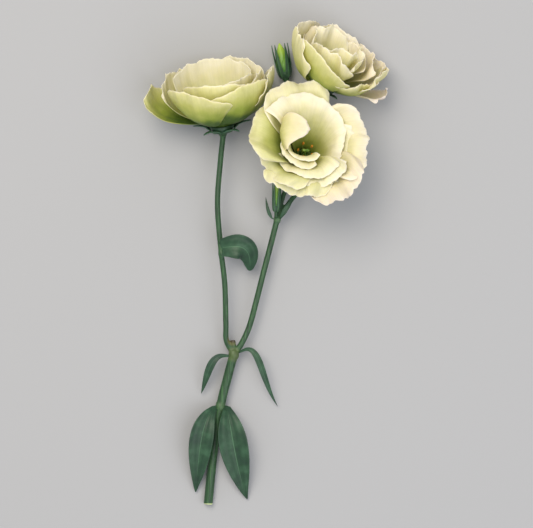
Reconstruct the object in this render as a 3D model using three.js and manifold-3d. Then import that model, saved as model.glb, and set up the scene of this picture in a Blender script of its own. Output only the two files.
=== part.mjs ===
// A cut spray of double lisianthus lying on a flat surface, in millimetres, +Z up.
// +Y runs from the cut end of the stem to the flowers. One branched stem carries three open blooms,
// two buds, and leaves and bracts in pairs. Petals, sepals and leaves are thin blades raised by a formula.
import * as THREE from 'three';
import { mergeVertices } from 'three/addons/utils/BufferGeometryUtils.js';
import Module from 'manifold-3d';

const wasm = await Module();
wasm.setup();

// ---- driving dimensions ----

// the origin is under the middle of the spray, on the surface that it lies on
const ORIGIN = [-1.16, 1.05, 0];

// stem and branches: radii, and the points where leaves, branches and buds part
const STEM_RADIUS = 2.6;
const BRANCH_RADIUS = 1.6;
const PEDICEL_RADIUS = 1.4;
const BUD_STALK_RADIUS = 1;
const STUB_RADIUS = 1.6;
const STEM_SIDES = 8;
const STEM_STEP = 12;
const CUT_END = [-34, -134, 2.6];
const LOWER_NODE = [-27, -79, 5];
const FORK = [-19.5, -49.5, 7];
const STUB_TOP = [-20, -41.6, 8];
const LEAF_NODE = [-26.3, 7, 13];
const UPPER_NODE = [4.8, 26, 9];
const BUD_NODE = [28, 66, 4.5];
const SWELLINGS = [[FORK, 3.3], [LOWER_NODE, 3.1], [LEAF_NODE, 2], [UPPER_NODE, 2.4], [BUD_NODE, 2]];

// stalks: radius, the bloom or bud at the top, and the points on the way
const STALKS = [
  [STEM_RADIUS, null, [CUT_END, [-31, -105, 3.8], LOWER_NODE, [-22.6, -61, 6.2], FORK]],
  [STUB_RADIUS, null, [FORK, STUB_TOP]],
  [BRANCH_RADIUS, 'bloom_b',
    [FORK, [-23.6, -42, 8], [-23.9, -32, 9], [-24.5, -10, 11.5], [-26.5, 8, 13], [-28.5, 34, 14.5],
      [-27, 57, 15.2]]],
  [BRANCH_RADIUS + 0.1, null,
    [FORK, [-15.4, -44, 7.6], [-10.8, -34, 8], [-6.8, -19.4, 8.4], [-2.9, -4, 8.6], [1.1, 11.4, 8.8],
      UPPER_NODE]],
  [PEDICEL_RADIUS, 'bloom_a', [UPPER_NODE, [7.5, 37, 8.6], [11, 46, 7.2], [15.5, 53, 8.5]]],
  [PEDICEL_RADIUS, null, [UPPER_NODE, [12, 36, 7.5], [20, 46, 4.6], [26, 56, 3.4], BUD_NODE]],
  [PEDICEL_RADIUS, 'bloom_c', [BUD_NODE, [28.8, 76, 5], [27.6, 85, 6]]],
  [BUD_STALK_RADIUS + 0.1, 'green_bud', [BUD_NODE, [24, 76, 4], [17, 91, 4.5]]],
  [BUD_STALK_RADIUS, 'young_bud', [UPPER_NODE]],
];

// receptacles: radius at the foot and at the top, by the bloom or bud that they carry
const RECEPTACLE_HEIGHT = 3.4;
const STALK_INSIDE = 1;
const RECEPTACLES = {
  bloom_a: [1.4, 3.6], bloom_b: [1.4, 3.6], bloom_c: [1.4, 3.6], green_bud: [1.1, 2.2], young_bud: [1, 1.1],
};

// petals
const PETAL_THICKNESS = 0.8;
const PETAL_CELLS = [5, 4];
const WRAPPING_CELLS = [8, 4];
const CLAW = 0.16;
const FULL_WIDTH_AT = 0.8;
const CLAW_FLARE = 1.8;
const NARROWEST_WRAP = 3;
const NO_CHANGES = { wrap: 0, lean: 0, shift: 0 };

// petal kinds: foot of the midrib, its inner control points as parts of reach and height, and how the blade
// is cupped, rounded, waved, rolled and skewed; a petal with a wrap, in degrees, goes round the bloom's axis,
// and a petal with a lean is shorter at one side
const PETAL_KINDS = {
  spreading_outer: {
    root: [5.2, 4], belly: [0.33, 0.36], crest: [0.6, 1.16], cup: 0.3,
    round: 0.3, wave: 1.9, waves: 1.8, roll: 2.6, skew: 2.1,
  },
  spreading_middle: {
    root: [4.6, 4.3], belly: [0.32, 0.42], crest: [0.58, 1.12], cup: 0.55,
    round: 0.28, wave: 1.5, waves: 1.7, roll: 1.8, skew: 2.1,
  },
  spreading_inner: {
    root: [4.1, 4.6], belly: [0.4, 0.42], crest: [0.56, 1], cup: 0.85,
    round: 0.28, wave: 1, waves: 1.5, roll: 1, skew: 1.8,
  },
  bowl_outer: {
    root: [5.2, 4], belly: [0.7, 0.16], crest: [1.12, 0.56], cup: 0.62,
    round: 0.34, wave: 0.9, waves: 1.4, roll: 0.7, skew: -1.8,
  },
  bowl_middle: {
    root: [4.6, 4.3], belly: [0.68, 0.2], crest: [1.06, 0.58], cup: 0.7,
    round: 0.3, wave: 0.8, waves: 1.5, roll: 0.4, skew: -1.8,
  },
  bowl_inner: {
    root: [4.1, 4.6], belly: [0.66, 0.24], crest: [1, 0.62], cup: 0.85,
    round: 0.28, wave: 0.9, waves: 1.5, roll: 0.3, skew: -1.6,
  },
};

// blooms: base point, direction of the axis on the surface, its rise in degrees, tip of the sepals, petals as
// azimuth in degrees, reach from the axis, height of the tip, width, kind, phase of the wave, changes
const BLOOMS = {
  bloom_a: {
    base: [18.5, 57.5, 17], heading: [5, 16], rise: 70, sepal_tip: [17, 11],
    petals: [
      [106, 37, 34, 42, 'spreading_outer', 0.6, { wave: 1.5 }],
      [4, 34, 28, 48, 'spreading_outer', 1.0, { roll: 1.5, wave: 1.2 }],
      [-50, 37, 27, 38, 'spreading_outer', 3.4, { wave: 2.0, round: 0.34 }],
      [-105, 30, 26, 42, 'spreading_outer', 5.2],
      [-145, 28, 28.5, 44, 'spreading_outer', 4.0],
      [160, 33, 32, 46, 'spreading_outer', 2.6, { cup: 0.6 }],
      [-18, 28, 24, 40, 'spreading_outer', 1.4, { wave: 0.6, cup: 0.6, round: 0.2 }],
      [60, 31, 36, 60, 'spreading_middle', 0.2,
        { wrap: 88, wave: 0.9, round: 0.08, lean: 0.4, roll: 2.4 }],
      [-75, 28, 30, 50, 'spreading_middle', 4.2, { wrap: 50, round: 0.14, wave: 1, lean: 0.15 }],
      [-98, 23.5, 32, 54, 'spreading_middle', 2.2, { wrap: 64, round: 0.1, wave: 0.7, lean: 0.2 }],
      [-130, 17, 33, 42, 'spreading_inner', 1.2, { wrap: 58, round: 0.1, wave: 0.6, lean: 0.1 }],
      [-118, 12.5, 33, 36, 'spreading_inner', 0.7, { wrap: 64, round: 0.08, wave: 0.4, roll: 0.5 }],
      [172, 1, 38, 21, 'spreading_inner', 3.2,
        { cup: 0.4, roll: 0, wave: 0.4, shift: -5, midrib: [[4.1, 4.6], [13, 18], [26, 47], [1, 38]] }],
    ],
  },
  bloom_b: {
    base: [-25.7, 76, 18.42], heading: [-4, 33], rise: 20, sepal_tip: [17, 2],
    petals: [
      [168, 38, 26, 38, 'bowl_outer', 0.6, { cup: 0.5 }],
      [-125, 27, 32, 60, 'bowl_outer', 2.0, { cup: 1.1, round: 0.3, wave: 0.5, lean: -0.12 }],
      [-45, 26, 30, 52, 'bowl_outer', 1.0, { round: 0.2, cup: 0.9, wave: 0.5 }],
      [2, 30, 31, 44, 'bowl_outer', 3.4, { wave: 1.2 }],
      [60, 25, 34, 50, 'bowl_outer', 2.6],
      [150, 29, 31, 50, 'bowl_outer', 5.2, { cup: 0.9, round: 0.2, wave: 0.6 }],
      [94, 21, 35, 76, 'bowl_middle', 4.2, { wrap: 78, round: 0.1, wave: 0.5 }],
      [-95, 22, 32, 56, 'bowl_middle', 0.2, { wrap: 60, round: 0.1, wave: 0.3 }],
      [-6, 23, 31, 40, 'bowl_middle', 1.4, { wave: 1.2, waves: 2 }],
      [-38, 18.5, 31.5, 40, 'bowl_inner', 0.7, { wrap: 58, wave: 0.4, round: 0.12 }],
    ],
  },
  bloom_c: {
    base: [29, 98.8, 14.25], heading: [13, 28], rise: 28, sepal_tip: [14.5, 3],
    petals: [
      [200, 27, 32, 40, 'bowl_outer', 0.6, { cup: 0.8, wave: 0.7 }],
      [-108, 28, 37, 52, 'bowl_outer', 2.0, { lean: -0.35, cup: 0.9, round: 0.2, wave: 0.4 }],
      [-45, 24, 19, 42, 'bowl_outer', 1.0, { belly: [0.6, 0.2] }],
      [-10, 28, 25, 42, 'bowl_outer', 3.4, { wave: 1.5 }],
      [-6, 33, 13, 28, 'bowl_outer', 5.2, { belly: [0.55, 0.2], cup: 0.3 }],
      [98, 17, 31, 44, 'bowl_outer', 4.0, { crest: [1.02, 0.6], wave: 1.8, waves: 2.2 }],
      [148, 23, 31, 42, 'bowl_outer', 2.6, { wave: 1.4 }],
      [11, 28, 24, 36, 'bowl_middle', 4.2, { wave: 1.4 }],
      [30, 22, 27, 42, 'bowl_middle', 5.5, { wave: 1.6, waves: 2 }],
      [65, 15, 28, 42, 'bowl_middle', 3.6, { wave: 1.6, waves: 2 }],
      [-115, 17, 31, 38, 'bowl_middle', 0.2, { wave: 1.6, waves: 2 }],
      [130, 13, 33, 34, 'bowl_inner', 1.2, { wave: 1.6, waves: 2.2 }],
      [20, 14, 29, 34, 'bowl_inner', 2.4, { wave: 1.6, waves: 2.2 }],
      [-70, 9, 31, 30, 'bowl_inner', 3.3, { wave: 1.4, waves: 2 }],
    ],
  },
};

// the fused tube at the foot of a corolla, and the calyx cup that holds it
const TUBE_OUTER = 6.1;
const TUBE_BORE = 3.4;
const TUBE_HEIGHT = 7;
const TUBE_FLOOR = 1.6;
const CALYX_DROP = 1.3;
const CALYX_HEIGHT = 3.2;
const SEAT_GAP = 0.3;
const SEPAL_WIDTH = 3.2;
const SEPAL_THICKNESS = 0.9;
const SEPALS = 5;
const SEPAL_TURN = 18;
const ROUND_SIDES = 10;

// pistil and stamens
const STIGMA_HEIGHT = 19;
const OVARY_RADIUS = 1.8;
const STYLE_RADIUS = 0.6;
const STAMENS = 5;
const FILAMENT_RADIUS = 0.4;
const ANTHER_HEIGHT = 18;
const ANTHER_CIRCLE = 4.2;
const ANTHER_RADIUS = 0.9;

// buds: base point, direction on the surface, rise in degrees, length, radius, reach and spread of the sepals
const BUDS = {
  young_bud: {
    base: [4.2, 31.6, 12.4], heading: [0.5, 15], rise: 8, length: 17, radius: 1.5, tail: 19, spread: 2.5,
  },
  green_bud: {
    base: [9.4, 106.5, 7.5], heading: [-3, 16], rise: 4, length: 18.5, radius: 3.7, tail: 18, spread: 4.9,
  },
};
const BUD_SIDES = 8;
const BUD_WALL = 0.8;

// leaves: control points of the midrib, greatest width, where along the blade it is widest, fold of the
// blade, width of the base as a part of the greatest, and how pointed the tip is
const LEAF_THICKNESS = 0.8;
const LEAF_CELLS = [4, 7];
const BRACT_CELLS = [2, 5];
const SMALLEST_LEAF = 6;
const USUAL_LEAF = { fold: 0.1, base: 0.3, tip: 0.9 };
const LEAVES = {
  lower_leaf_right: {
    midrib: [[-23.4, -80, 7], [-21, -88, 16], [-19, -110, 11], [-12, -131, 1.6]],
    width: 17, widest: 0.5, fold: 0.35, base: 0.2,
  },
  lower_leaf_left: {
    midrib: [[-30.6, -80, 7], [-38, -86, 15], [-39, -108, 10], [-41, -127, 1.6]],
    width: 14, widest: 0.48, fold: 0.35, base: 0.2,
  },
  fork_leaf_right: {
    midrib: [[-15.2, -47.8, 8], [-4.5, -41, 15], [-4.5, -64, 11], [5.2, -79, 2.4]],
    width: 3.8, widest: 0.5, fold: 0.2,
  },
  fork_leaf_left: {
    midrib: [[-23, -50.5, 7.8], [-33, -48, 13], [-34, -62, 8], [-38, -72, 2.4]],
    width: 4.4, widest: 0.5, fold: 0.2,
  },
  branch_leaf: {
    midrib: [[-25.3, 10.2, 15.1], [-17, 11.5, 21], [-9, 12.5, 18], [-10.5, -2.5, 9]],
    width: 14, widest: 0.4, fold: 0.25, base: 0.7, tip: 0.5,
  },
  upper_bract_left: {
    midrib: [[2, 26.5, 9.5], [-0.5, 30, 11], [-1, 34, 11], [-1.6, 38.6, 9]], width: 2, widest: 0.3,
  },
  upper_bract_right: {
    midrib: [[6.9, 26.9, 11.2], [9, 31, 14], [12, 35, 13], [15.2, 40.5, 10.5]], width: 2.8, widest: 0.35,
  },
  bud_node_bract_left: {
    midrib: [[25.6, 66.5, 5], [21, 70, 5], [18, 74, 4.5], [15, 77, 4]], width: 2.4, widest: 0.35,
  },
  bud_node_bract_right: {
    midrib: [[30.4, 66.5, 5], [34, 71, 5], [36, 76, 4.5], [37, 81, 4]], width: 2.4, widest: 0.35,
  },
};

// ---- finishes ----

const petalFinish = () => new THREE.MeshStandardMaterial({
  color: '#efecc4', roughness: 0.6, side: THREE.DoubleSide,
});
const stemFinish = () => new THREE.MeshStandardMaterial({ color: '#3d6b45', roughness: 0.5 });
const leafFinish = () => new THREE.MeshStandardMaterial({ color: '#33573e', roughness: 0.6 });
const budFinish = () => new THREE.MeshStandardMaterial({ color: '#a8c84a', roughness: 0.5 });
const calyxFinish = () => new THREE.MeshStandardMaterial({ color: '#2c4f36', roughness: 0.6 });
const antherFinish = () => new THREE.MeshStandardMaterial({ color: '#d9922a', roughness: 0.8 });
const pistilFinish = () => new THREE.MeshStandardMaterial({ color: '#7fa03a', roughness: 0.5 });

// ---- small tools ----

const vector = (p) => new THREE.Vector3(...p);
const radians = THREE.MathUtils.degToRad;
const rise = (low, high, x) => THREE.MathUtils.smoothstep(x, low, high);

function bezier(points, t) {
  let row = points;
  while (row.length > 1) {
    row = row.slice(1).map((p, i) => p.map((x, k) => row[i][k] * (1 - t) + x * t));
  }
  return row[0];
}

// the frame of a bloom or bud: z along its axis, x to the right of the spray
function axisFrame({ base, heading, rise: angle }) {
  const flat = new THREE.Vector2(...heading).normalize().multiplyScalar(Math.cos(radians(angle)));
  const z = new THREE.Vector3(flat.x, flat.y, Math.sin(radians(angle)));
  const x = new THREE.Vector3(1, 0, 0).addScaledVector(z, -z.x).normalize();
  const y = z.clone().cross(x);
  return new THREE.Matrix4().makeBasis(x, y, z).setPosition(vector(base));
}

function toSolid(geometry) {
  const bare = geometry.clone();
  bare.deleteAttribute('normal');
  bare.deleteAttribute('uv');
  const merged = mergeVertices(bare, 1e-4);
  return new wasm.Manifold(new wasm.Mesh({
    numProp: 3,
    vertProperties: new Float32Array(merged.attributes.position.array),
    triVerts: new Uint32Array(merged.index.array),
  }));
}

// joins geometries and keeps the one outer body: hollows that the join seals are filled
function fuse(geometries) {
  const joined = geometries.map(toSolid).reduce((a, b) => a.add(b));
  const body = joined.decompose().reduce((a, b) => (b.volume() > a.volume() ? b : a));
  const mesh = body.getMesh();
  const geometry = new THREE.BufferGeometry();
  geometry.setAttribute('position', new THREE.BufferAttribute(mesh.vertProperties, 3));
  geometry.setIndex(new THREE.BufferAttribute(mesh.triVerts, 1));
  geometry.computeVertexNormals();
  return geometry;
}

// a closed blade: a surface given on u, v in 0..1, thickened both ways, both faces split alike
function blade(surface, [across, along], thickness) {
  const step = 1e-3;
  const corners = [];
  for (const side of [1, -1]) {
    for (let i = 0; i <= across; i += 1) {
      for (let j = 0; j <= along; j += 1) {
        const u = THREE.MathUtils.clamp(i / across, step, 1 - step);
        const v = THREE.MathUtils.clamp(j / along, step, 1 - step);
        const du = surface(u + step, v).sub(surface(u - step, v));
        const dv = surface(u, v + step).sub(surface(u, v - step));
        const normal = du.cross(dv).normalize();
        corners.push(surface(i / across, j / along).addScaledVector(normal, side * thickness / 2));
      }
    }
  }
  const half = (across + 1) * (along + 1);
  const at = (i, j, face) => face * half + i * (along + 1) + j;
  const index = [];
  for (let i = 0; i < across; i += 1) {
    for (let j = 0; j < along; j += 1) {
      const [a, b, c, d] = [at(i, j, 0), at(i + 1, j, 0), at(i + 1, j + 1, 0), at(i, j + 1, 0)];
      index.push(a, b, c, a, c, d);
      index.push(a + half, c + half, b + half, a + half, d + half, c + half);
    }
  }
  const rim = [];
  for (let i = 0; i < across; i += 1) rim.push([i, 0]);
  for (let j = 0; j < along; j += 1) rim.push([across, j]);
  for (let i = across; i > 0; i -= 1) rim.push([i, along]);
  for (let j = along; j > 0; j -= 1) rim.push([0, j]);
  rim.forEach(([i, j], k) => {
    const [m, n] = rim[(k + 1) % rim.length];
    index.push(at(i, j, 0), at(i, j, 1), at(m, n, 1), at(i, j, 0), at(m, n, 1), at(m, n, 0));
  });
  const geometry = new THREE.BufferGeometry();
  geometry.setAttribute('position', new THREE.Float32BufferAttribute(corners.flatMap((p) => p.toArray()), 3));
  geometry.setIndex(index);
  return geometry;
}

function rod(points, radius, sides = STEM_SIDES, stride = STEM_STEP) {
  const path = new THREE.CatmullRomCurve3(points.map(vector), false, 'catmullrom', 0.5);
  const outline = new THREE.Shape();
  outline.absarc(0, 0, radius, 0, Math.PI * 2, false);
  return new THREE.ExtrudeGeometry(outline, {
    extrudePath: path,
    steps: Math.max(2, Math.round(path.getLength() / stride)),
    curveSegments: Math.ceil(sides / 2),
  });
}

function knob(point, radius, stretch = [1, 1, 1], sides = 8) {
  const ball = new THREE.SphereGeometry(radius, sides, sides - 2);
  ball.scale(...stretch);
  ball.translate(...point);
  return ball;
}

const turned = (profile, sides = ROUND_SIDES) => {
  const lathe = new THREE.LatheGeometry(profile.map((p) => new THREE.Vector2(...p)), sides);
  return lathe.rotateX(Math.PI / 2);
};

// ---- petals ----

// a point of a petal in the bloom's frame; u runs across it and v from claw to tip, both 0..1
function petalSurface([azimuth, reach, height, width, kind, phase, changes]) {
  const form = { ...NO_CHANGES, ...PETAL_KINDS[kind], ...changes };
  const midrib = form.midrib ?? [
    form.root,
    [Math.max(form.root[0] + 1, form.belly[0] * reach), form.belly[1] * height],
    [form.crest[0] * reach, form.crest[1] * height],
    [reach, height],
  ];
  return (across, along) => {
    const u = across * 2 - 1;
    const lean = Math.abs(form.lean) * rise(-1, 1, -Math.sign(form.lean) * u);
    const t = along * (1 - form.round * Math.abs(u) ** 2.6 - lean);
    const [r, h] = bezier(midrib, t);
    const ahead = bezier(midrib, t + 1e-3);
    const slope = Math.hypot(ahead[0] - r, ahead[1] - h);
    const inward = [-(ahead[1] - h) / slope, (ahead[0] - r) / slope];
    const flare = Math.sin((Math.PI / 2) * Math.min(1, t / FULL_WIDTH_AT)) ** CLAW_FLARE;
    const half = (width / 2) * (CLAW + (1 - CLAW) * flare);
    const open = rise(0.3, 1, t);
    const bend = (1 - open) / Math.max(r, NARROWEST_WRAP) + (open * form.cup) / (width / 2);
    const margin = Math.max(rise(0.45, 1, along), rise(0.5, 1, Math.abs(u)) * rise(0.3, 0.8, along));
    const cycle = form.waves * (u * 0.5 + 0.45 * (along - 0.6) * u);
    const turn = radians(azimuth + form.wrap * u);
    let lift = form.wrap ? 0 : (1 - Math.cos(bend * half * u)) / bend;
    lift += form.wave * margin * Math.sin(2 * Math.PI * cycle + phase);
    lift -= form.roll * rise(0.72, 1, along) ** 2;
    lift += form.skew * u * (0.1 + 0.9 * rise(0, 0.5, t));
    const aside = (form.wrap ? 0 : Math.sin(bend * half * u) / bend) + form.shift * t ** 2;
    const out = r + inward[0] * lift;
    return new THREE.Vector3(
      out * Math.cos(turn) - aside * Math.sin(turn),
      out * Math.sin(turn) + aside * Math.cos(turn),
      h + inward[1] * lift,
    );
  };
}

// the tube that all petals of one corolla grow from
function corollaTube() {
  return turned([
    [0, 0], [TUBE_OUTER * 0.6, 0], [TUBE_OUTER * 0.9, 1.5], [TUBE_OUTER, 4], [TUBE_OUTER, TUBE_HEIGHT],
    [TUBE_BORE + 0.1, TUBE_HEIGHT], [TUBE_BORE, TUBE_FLOOR], [0, TUBE_FLOOR],
  ]);
}

function corolla({ petals }) {
  const blades = petals.map((petal) => {
    const cells = petal[6]?.wrap ? WRAPPING_CELLS : PETAL_CELLS;
    return blade(petalSurface(petal), cells, PETAL_THICKNESS);
  });
  return fuse([corollaTube(), ...blades]);
}

// ---- calyx, pistil, stamens ----

function sepal(azimuth, midrib, width) {
  const turn = radians(azimuth);
  const surface = (across, along) => {
    const [r, h] = bezier(midrib, along);
    const aside = (across - 0.5) * width * (1 - 0.85 * along);
    return new THREE.Vector3(
      r * Math.cos(turn) - aside * Math.sin(turn),
      r * Math.sin(turn) + aside * Math.cos(turn),
      h,
    );
  };
  return blade(surface, [1, 4], SEPAL_THICKNESS);
}

function calyx({ sepal_tip: [tipR, tipH] }) {
  const cup = turned([
    [0, -CALYX_DROP], [4.3, -CALYX_DROP], [6.5, 0.7], [7.3, CALYX_HEIGHT],
    [TUBE_OUTER + SEAT_GAP + 0.1, CALYX_HEIGHT], [5.85, 1.1], [3.8, -SEAT_GAP], [0, -SEAT_GAP],
  ]);
  const midrib = [[6.6, 2], [9, 2.6], [(9 + tipR) / 2, (3 + tipH) / 2], [tipR, tipH]];
  const lobes = Array.from({ length: SEPALS }, (_, i) => (
    sepal(SEPAL_TURN + i * 360 / SEPALS, midrib, SEPAL_WIDTH)));
  return fuse([cup, ...lobes]);
}

function pistil() {
  const foot = TUBE_FLOOR + SEAT_GAP;
  const column = turned([
    [0, foot], [OVARY_RADIUS * 0.85, foot], [OVARY_RADIUS, 5], [OVARY_RADIUS, 9], [STYLE_RADIUS, 12.5],
    [STYLE_RADIUS, STIGMA_HEIGHT], [0, STIGMA_HEIGHT],
  ], 8);
  const lobes = [-1, 1].map((side) => knob([side * 0.9, 0, STIGMA_HEIGHT], 1, [1.1, 0.8, 0.7], 6));
  return fuse([column, ...lobes]);
}

function stamens() {
  const foot = TUBE_FLOOR + SEAT_GAP;
  const outer = TUBE_BORE - SEAT_GAP - 0.05;
  const pieces = [turned([[2.2, foot], [outer, foot], [outer, foot + 0.8], [2.2, foot + 0.8], [2.2, foot]])];
  for (let i = 0; i < STAMENS; i += 1) {
    const turn = (2 * Math.PI * (i + 0.5)) / STAMENS;
    const at = (r, h) => [r * Math.cos(turn), r * Math.sin(turn), h];
    const filament = [at(2.65, foot + 0.3), at(3.1, 9), at(ANTHER_CIRCLE, ANTHER_HEIGHT)];
    pieces.push(rod(filament, FILAMENT_RADIUS, 4, 10));
    pieces.push(knob(at(ANTHER_CIRCLE, ANTHER_HEIGHT + 1), ANTHER_RADIUS, [1, 1, 1.4], 5));
  }
  return fuse(pieces);
}

// ---- buds ----

function budPetals({ length, radius }) {
  return turned([
    [0, 0], [radius * 0.7, 0], [radius, length * 0.3], [radius * 0.95, length * 0.55],
    [radius * 0.5, length * 0.85], [radius * 0.12, length], [0, length],
  ], BUD_SIDES);
}

function budCalyx({ length, radius, tail, spread }) {
  const inner = radius + SEAT_GAP;
  const outer = inner + BUD_WALL;
  const cup = turned([
    [0, -CALYX_DROP], [radius * 0.8, -CALYX_DROP], [outer, length * 0.12], [outer, length * 0.3],
    [inner + 0.02, length * 0.3], [inner, length * 0.12], [radius * 0.7 + SEAT_GAP, -SEAT_GAP],
    [0, -SEAT_GAP],
  ], BUD_SIDES);
  const start = inner + BUD_WALL / 2;
  const midrib = [
    [start, length * 0.2], [start + 0.3, length * 0.5], [spread, tail * 0.7], [spread * 1.05, tail],
  ];
  const lobes = Array.from({ length: SEPALS }, (_, i) => (
    sepal(SEPAL_TURN + i * 360 / SEPALS, midrib, radius * 1.1)));
  return fuse([cup, ...lobes]);
}

// ---- leaves and bracts ----

function leaf(spec) {
  const { midrib, width, widest, fold, base, tip } = { ...USUAL_LEAF, ...spec };
  const up = new THREE.Vector3(0, 0, 1);
  const surface = (across, along) => {
    const u = across * 2 - 1;
    const here = vector(bezier(midrib, along));
    const ahead = vector(bezier(midrib, along + 1e-3)).sub(here).normalize();
    const side = ahead.clone().cross(up).normalize();
    const lift = side.clone().cross(ahead);
    const taper = along < widest
      ? base + (1 - base) * Math.sin((Math.PI / 2) * (along / widest)) ** 1.5
      : Math.cos((Math.PI / 2) * ((along - widest) / (1 - widest))) ** tip;
    const half = (width / 2) * Math.max(taper, 0.06);
    here.addScaledVector(side, u * half * Math.cos(fold));
    return here.addScaledVector(lift, Math.abs(u) * half * Math.sin(fold));
  };
  return blade(surface, width > SMALLEST_LEAF ? LEAF_CELLS : BRACT_CELLS, LEAF_THICKNESS);
}

// ---- stem ----

// the point under a bloom or bud where its stalk ends, inside the receptacle
function seat(spec) {
  const drop = CALYX_DROP + SEAT_GAP + RECEPTACLE_HEIGHT - STALK_INSIDE;
  return new THREE.Vector3(0, 0, -drop).applyMatrix4(axisFrame(spec)).toArray();
}

function receptacle(spec, [foot, top]) {
  const bottom = -CALYX_DROP - SEAT_GAP - RECEPTACLE_HEIGHT;
  const cone = turned([
    [0, bottom], [foot, bottom], [top, bottom + RECEPTACLE_HEIGHT], [0, bottom + RECEPTACLE_HEIGHT],
  ]);
  return cone.applyMatrix4(axisFrame(spec));
}

function stem() {
  const flowers = { ...BLOOMS, ...BUDS };
  const stalks = STALKS.map(([radius, flower, points]) => {
    const route = flower ? [...points, seat(flowers[flower])] : points;
    return rod(route, radius);
  });
  const swellings = SWELLINGS.map(([point, radius]) => knob(point, radius));
  const cones = Object.entries(RECEPTACLES).map(([flower, radii]) => receptacle(flowers[flower], radii));
  return fuse([...stalks, ...swellings, ...cones]);
}

// ---- the spray ----

const spray = new THREE.Group();
spray.position.set(...ORIGIN).negate();

function add(name, geometry, material, frame) {
  const mesh = new THREE.Mesh(geometry, material);
  mesh.name = name;
  if (frame) frame.decompose(mesh.position, mesh.quaternion, mesh.scale);
  spray.add(mesh);
}

add('stem', stem(), stemFinish());
for (const [name, spec] of Object.entries(BLOOMS)) {
  const frame = axisFrame(spec);
  add(`${name}_petals`, corolla(spec), petalFinish(), frame);
  add(`${name}_calyx`, calyx(spec), calyxFinish(), frame);
  add(`${name}_pistil`, pistil(), pistilFinish(), frame);
  add(`${name}_stamens`, stamens(), antherFinish(), frame);
}
for (const [name, spec] of Object.entries(BUDS)) {
  const frame = axisFrame(spec);
  add(`${name}_petals`, budPetals(spec), budFinish(), frame);
  add(`${name}_calyx`, budCalyx(spec), calyxFinish(), frame);
}
for (const [name, spec] of Object.entries(LEAVES)) add(name, leaf(spec), leafFinish());

export default spray;
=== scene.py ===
# A cut spray of double lisianthus, laid down on a pale table and seen from above.
# One branched stem carries three open blooms, two buds, and its leaves and bracts.
# Lengths are in millimetres up to the last step of each piece, which puts them in the frame in metres.
import math

import bpy
import numpy as np
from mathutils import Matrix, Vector


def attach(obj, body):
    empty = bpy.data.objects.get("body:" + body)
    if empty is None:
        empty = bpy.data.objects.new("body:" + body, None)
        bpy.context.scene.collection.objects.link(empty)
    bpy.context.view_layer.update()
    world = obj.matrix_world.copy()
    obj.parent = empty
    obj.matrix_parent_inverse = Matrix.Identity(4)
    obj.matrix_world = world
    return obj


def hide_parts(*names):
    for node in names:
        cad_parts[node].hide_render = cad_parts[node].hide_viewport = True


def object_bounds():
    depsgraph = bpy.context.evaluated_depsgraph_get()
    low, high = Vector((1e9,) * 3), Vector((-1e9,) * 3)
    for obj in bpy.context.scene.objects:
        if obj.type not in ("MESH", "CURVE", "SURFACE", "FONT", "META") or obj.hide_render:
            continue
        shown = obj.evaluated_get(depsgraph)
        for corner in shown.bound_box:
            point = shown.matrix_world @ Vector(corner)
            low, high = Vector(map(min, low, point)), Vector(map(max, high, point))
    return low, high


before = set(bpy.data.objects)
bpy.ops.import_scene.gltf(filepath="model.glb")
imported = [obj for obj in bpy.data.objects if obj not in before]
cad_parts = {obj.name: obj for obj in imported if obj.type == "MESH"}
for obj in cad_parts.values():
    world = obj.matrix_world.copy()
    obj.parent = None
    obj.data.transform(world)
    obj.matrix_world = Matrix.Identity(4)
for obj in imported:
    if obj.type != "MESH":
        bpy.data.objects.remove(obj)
cad_low, cad_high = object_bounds()

# ---- stem ----
# The stem and its branches: round green herbaceous stalks, swollen where leaves and branches part.
# Each stalk is a bevelled curve on its route, and a fine remesh grows them together into one skin.
# The main stem is cut below and carries the stub of a branch that was cut away at the fork.

MM = 0.001
# the point of the spray's plan that lies at the frame's origin
ORIGIN = (-1.16, 1.05, 0.0)
STEM_RADIUS = 2.6
BRANCH_RADIUS = 1.6
RIGHT_BRANCH_RADIUS = BRANCH_RADIUS + 0.1
PEDICEL_RADIUS = 1.4
GREEN_BUD_STALK = PEDICEL_RADIUS * 0.8
YOUNG_BUD_STALK = PEDICEL_RADIUS * 0.7
STUB_RADIUS = 1.55
CUT_END = (-34, -134, 2.6)
LOWER_NODE = (-27, -79, 5)
FORK = (-19.5, -49.5, 7)
LEAF_NODE = (-26.3, 7, 13)
UPPER_NODE = (4.8, 26, 9)
BUD_NODE = (28, 66, 4.5)
STUB_TOP = (-20, -41.6, 8)
REMESH_CELL = 0.42
# below each flower's base come the foot of its calyx and then the receptacle; each part runs on a little
# inside the next: the stalk inside the receptacle, and the receptacle inside the calyx
CALYX_DROP = 1.3
RECEPTACLE_HEIGHT = 3.4
STALK_INSIDE = 1
RECEPTACLE_INSIDE = 0.2
# the foot's and the top's radius of each receptacle
RECEPTACLES = {
    "bloom_a": (PEDICEL_RADIUS, 4.0),
    "bloom_b": (PEDICEL_RADIUS, 4.0),
    "bloom_c": (PEDICEL_RADIUS, 4.0),
    "green_bud": (GREEN_BUD_STALK, 2.4),
    "young_bud": (YOUNG_BUD_STALK, 1.1),
}
# the radius of each swollen node, and how far it is drawn out along the stem
SWELLINGS = [
    (FORK, 3.1, 1.25),
    (LOWER_NODE, 2.9, 1.5),
    (LEAF_NODE, 1.9, 1.5),
    (UPPER_NODE, 2.2, 1.2),
    (BUD_NODE, 1.9, 1.2),
]

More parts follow.
